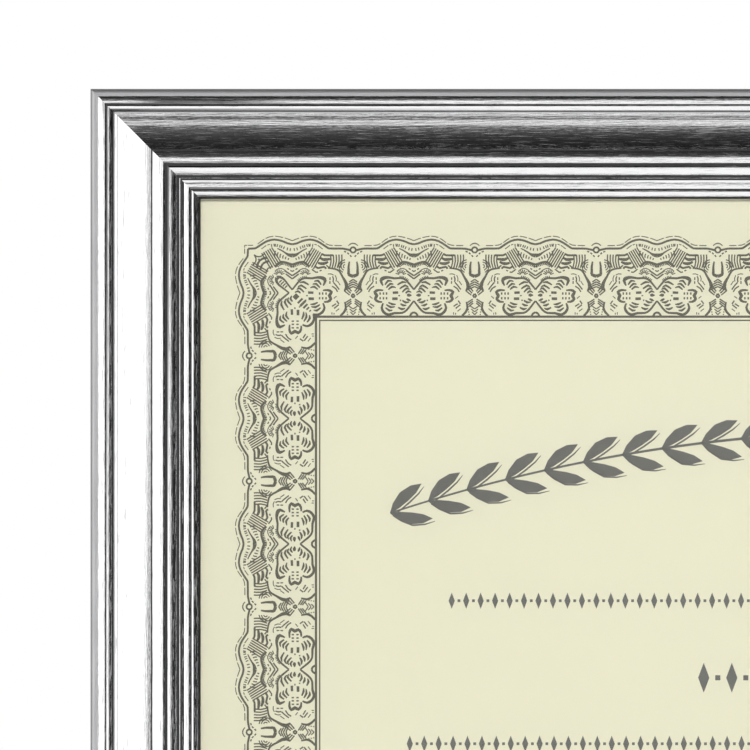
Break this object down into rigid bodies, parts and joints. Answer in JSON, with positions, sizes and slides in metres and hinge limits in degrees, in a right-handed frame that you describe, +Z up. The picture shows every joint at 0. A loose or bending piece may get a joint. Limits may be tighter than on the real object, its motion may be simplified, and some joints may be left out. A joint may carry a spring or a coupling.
{
  "type": "certificate frame",
  "caption": "Landscape certificate frame in reeded silver moulding, glazed, with turn-button back, folding easel leg for a table and keyhole hangers for a wall.",
  "frame": {"origin": "on the table top, under the middle of the whole frame's box as it stands on its leg", "axes": "+X to the viewer's right along the long rails, +Y to the back, +Z up; the face looks towards -Y and leans back 14 degrees"},
  "size_m": [0.3086, 0.0802, 0.2401],
  "materials": {
    "silver_moulding": "bright silver foil on a wood moulding, streaked along its length",
    "clear_glass": "clear float glass",
    "cream_paper": "cream laid paper with a printed grey border",
    "grey_card": "grey pulp card",
    "black_board": "hardboard faced with black grained paper",
    "plated_steel": "zinc-plated pressed steel",
    "fastener_steel": "nickel-plated steel",
    "black_ribbon": "woven satin ribbon"
  },
  "bodies": {
    "frame": {"bottom_rail": "silver_moulding", "left_rail": "silver_moulding", "top_rail": "silver_moulding", "right_rail": "silver_moulding", "corner_v_nails": "plated_steel", "glazing": "clear_glass", "certificate": "cream_paper", "filler_card": "grey_card", "back_board": "black_board", "turn_button_screws": "fastener_steel", "hinge_board_plate": "plated_steel", "hinge_pin": "plated_steel", "hinge_board_rivets": "fastener_steel", "landscape_hanger": "plated_steel", "portrait_hanger": "plated_steel", "hanger_rivets": "fastener_steel", "ribbon_board_staple": "plated_steel", "easel_ribbon": "black_ribbon"},
    "leg": {"easel_leg": "black_board", "hinge_leg_plate": "plated_steel", "hinge_leg_rivets": "fastener_steel", "ribbon_leg_staple": "plated_steel"},
    "button_top_left": {"turn_button_top_left": "plated_steel"},
    "button_top_right": {"turn_button_top_right": "plated_steel"},
    "button_bottom_left": {"turn_button_bottom_left": "plated_steel"},
    "button_bottom_right": {"turn_button_bottom_right": "plated_steel"},
    "button_left": {"turn_button_left": "plated_steel"},
    "button_right": {"turn_button_right": "plated_steel"}
  },
  "joints": [
    {"name": "leg_fold", "type": "hinge", "parent": "frame", "child": "leg", "pos_m": [0, 0.00828, 0.14489], "axis": [1, 0, 0], "range_deg": [-26, 0], "deforming": ["easel_ribbon"]},
    {"name": "button_top_left_turn", "type": "hinge", "parent": "frame", "child": "button_top_left", "pos_m": [-0.08, 0.02688, 0.23064], "axis": [0, 0.9703, -0.2419], "continuous": true},
    {"name": "button_top_right_turn", "type": "hinge", "parent": "frame", "child": "button_top_right", "pos_m": [0.08, 0.02688, 0.23064], "axis": [0, 0.9703, -0.2419], "continuous": true},
    {"name": "button_bottom_left_turn", "type": "hinge", "parent": "frame", "child": "button_bottom_left", "pos_m": [-0.08, -0.02881, 0.00728], "axis": [0, 0.9703, -0.2419], "continuous": true},
    {"name": "button_bottom_right_turn", "type": "hinge", "parent": "frame", "child": "button_bottom_right", "pos_m": [0.08, -0.02881, 0.00728], "axis": [0, 0.9703, -0.2419], "continuous": true},
    {"name": "button_left_turn", "type": "hinge", "parent": "frame", "child": "button_left", "pos_m": [-0.14685, -0.00097, 0.11896], "axis": [0, 0.9703, -0.2419], "continuous": true},
    {"name": "button_right_turn", "type": "hinge", "parent": "frame", "child": "button_right", "pos_m": [0.14685, -0.00097, 0.11896], "axis": [0, 0.9703, -0.2419], "continuous": true}
  ]
}
